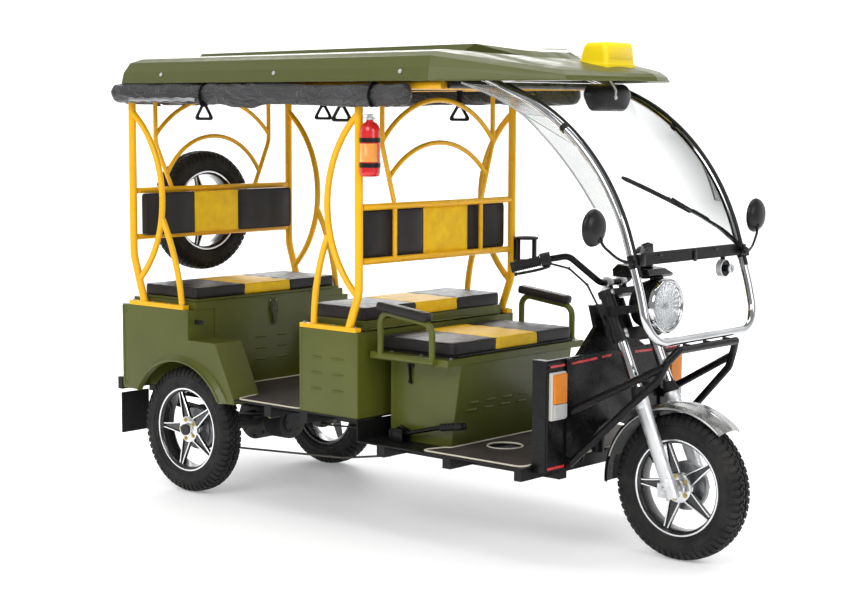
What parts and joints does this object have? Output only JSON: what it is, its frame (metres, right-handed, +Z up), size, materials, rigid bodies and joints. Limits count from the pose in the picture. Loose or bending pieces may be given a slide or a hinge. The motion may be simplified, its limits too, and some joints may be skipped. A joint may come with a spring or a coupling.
{
  "type": "electric rickshaw",
  "caption": "Open-sided electric passenger rickshaw with turning wheels, steering fork, two facing bench lids, a driver's seat lid, arched tube frames and a ridged roof.",
  "frame": {"origin": "on the ground, under the middle of the vehicle's box", "axes": "+X forward, +Y to the vehicle's left, +Z up"},
  "size_m": [2.72, 1.086, 1.742],
  "materials": {
    "tyre": "matt tread",
    "rim": "silver paint",
    "fork_silver": "silver and black",
    "black_metal": "semi-gloss",
    "chrome": "polished",
    "black_rubber": "matt",
    "lamp_glass": "clear",
    "green_paint": "gloss",
    "black_plastic": "matt",
    "vinyl": "grained vinyl, black with a yellow middle",
    "yellow_paint": "gloss",
    "green_plastic": "gloss",
    "yellow_plastic": "gloss",
    "clear_glass": "clear",
    "clear_plastic": "smoked",
    "curtain": "coated cloth, rolled",
    "red_paint": "gloss",
    "cast": "painted",
    "lamp_plastic": "orange and white"
  },
  "bodies": {
    "chassis": {"spare_tyre": "tyre", "spare_rim": "rim", "chassis_rails": "black_metal", "chassis_cross_members": "black_metal", "steering_column": "black_metal", "leg_shield": "black_metal", "crash_guard": "black_metal", "floor_pans": "green_paint", "rear_body_sides": "green_paint", "rear_panel": "green_paint", "rear_seat_box": "green_paint", "mid_box": "green_paint", "driver_box": "green_paint", "driver_seat_frame": "green_paint", "battery_pack": "black_plastic", "armrest_pads": "black_plastic", "backrests": "vinyl", "side_frames": "yellow_paint", "arch_frames": "yellow_paint", "roof_rails": "yellow_paint", "roof_panel": "green_plastic", "roof_sign": "yellow_plastic", "windscreen_hoop": "chrome", "windscreen": "clear_glass", "windscreen_bar": "black_metal", "side_deflectors": "clear_plastic", "mirrors": "black_plastic", "curtain_rolls": "curtain", "grab_rails": "black_metal", "extinguisher": "red_paint", "bottle_holder": "black_plastic", "hand_brake": "black_metal", "leaf_springs": "black_metal", "rear_axle": "cast", "rear_bumper": "black_metal", "rear_mudflaps": "black_rubber", "marker_lamps": "lamp_plastic"},
    "steering": {"fork_legs": "fork_silver", "fork_yokes": "black_metal", "handlebar": "black_metal", "hand_controls": "black_rubber", "headlight": "black_metal", "headlight_lens": "lamp_glass", "front_mudguard": "chrome", "control_cables": "black_rubber"},
    "front_wheel": {"front_tyre": "tyre", "front_rim": "rim"},
    "rear_left_wheel": {"rear_left_tyre": "tyre", "rear_left_rim": "rim"},
    "rear_right_wheel": {"rear_right_tyre": "tyre", "rear_right_rim": "rim"},
    "rear_lid": {"rear_seat_lid": "green_paint", "rear_cushion": "vinyl"},
    "mid_lid": {"mid_seat_lid": "green_paint", "mid_cushion": "vinyl"},
    "driver_lid": {"driver_seat_lid": "black_plastic", "driver_cushion": "vinyl"}
  },
  "joints": [
    {"name": "steering", "type": "hinge", "parent": "chassis", "child": "steering", "pos_m": [1.096, 0, 0.234], "axis": [-0.3939, 0, 0.9191], "range_deg": [-38, 38]},
    {"name": "front_wheel_spin", "type": "hinge", "parent": "steering", "child": "front_wheel", "pos_m": [1.11, 0, 0.25], "axis": [0, 1, 0], "continuous": true},
    {"name": "rear_left_wheel_spin", "type": "hinge", "parent": "chassis", "child": "rear_left_wheel", "pos_m": [-0.94, 0.385, 0.25], "axis": [0, 1, 0], "continuous": true},
    {"name": "rear_right_wheel_spin", "type": "hinge", "parent": "chassis", "child": "rear_right_wheel", "pos_m": [-0.94, -0.385, 0.25], "axis": [0, 1, 0], "continuous": true},
    {"name": "rear_seat_hinge", "type": "hinge", "parent": "chassis", "child": "rear_lid", "pos_m": [-1.2305, 0, 0.7615], "axis": [0, -1, 0], "range_deg": [0, 60]},
    {"name": "mid_seat_hinge", "type": "hinge", "parent": "chassis", "child": "mid_lid", "pos_m": [0.0015, 0, 0.7225], "axis": [0, 1, 0], "range_deg": [0, 60]},
    {"name": "driver_seat_hinge", "type": "hinge", "parent": "chassis", "child": "driver_lid", "pos_m": [0.3835, 0, 0.6542], "axis": [0, 1, 0], "range_deg": [0, 70]}
  ]
}
